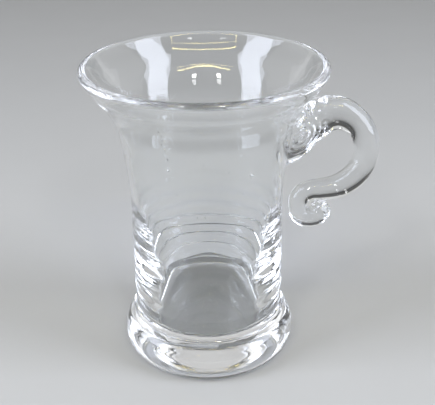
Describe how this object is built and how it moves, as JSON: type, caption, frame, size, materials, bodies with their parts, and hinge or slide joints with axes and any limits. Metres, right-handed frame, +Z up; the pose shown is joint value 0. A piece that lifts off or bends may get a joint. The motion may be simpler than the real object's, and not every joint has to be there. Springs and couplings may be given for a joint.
{
  "type": "glass mug",
  "caption": "Clear blown glass mug with a flared trumpet bowl, a low round foot and an applied finger handle with a curled tail.",
  "frame": {"origin": "on the turning axis of the bowl, in the middle of the flat underside that the mug stands on", "axes": "+Z up along the turning axis, +X from the axis through the middle of the handle"},
  "size_m": [0.1167, 0.0954, 0.124],
  "materials": {
    "bowl_glass": "blown, fire polished",
    "foot_glass": "hot turned, fire polished",
    "handle_glass": "drawn rod, fire polished"
  },
  "bodies": {
    "root": {"bowl": "bowl_glass", "foot": "foot_glass", "handle": "handle_glass"}
  },
  "joints": []
}
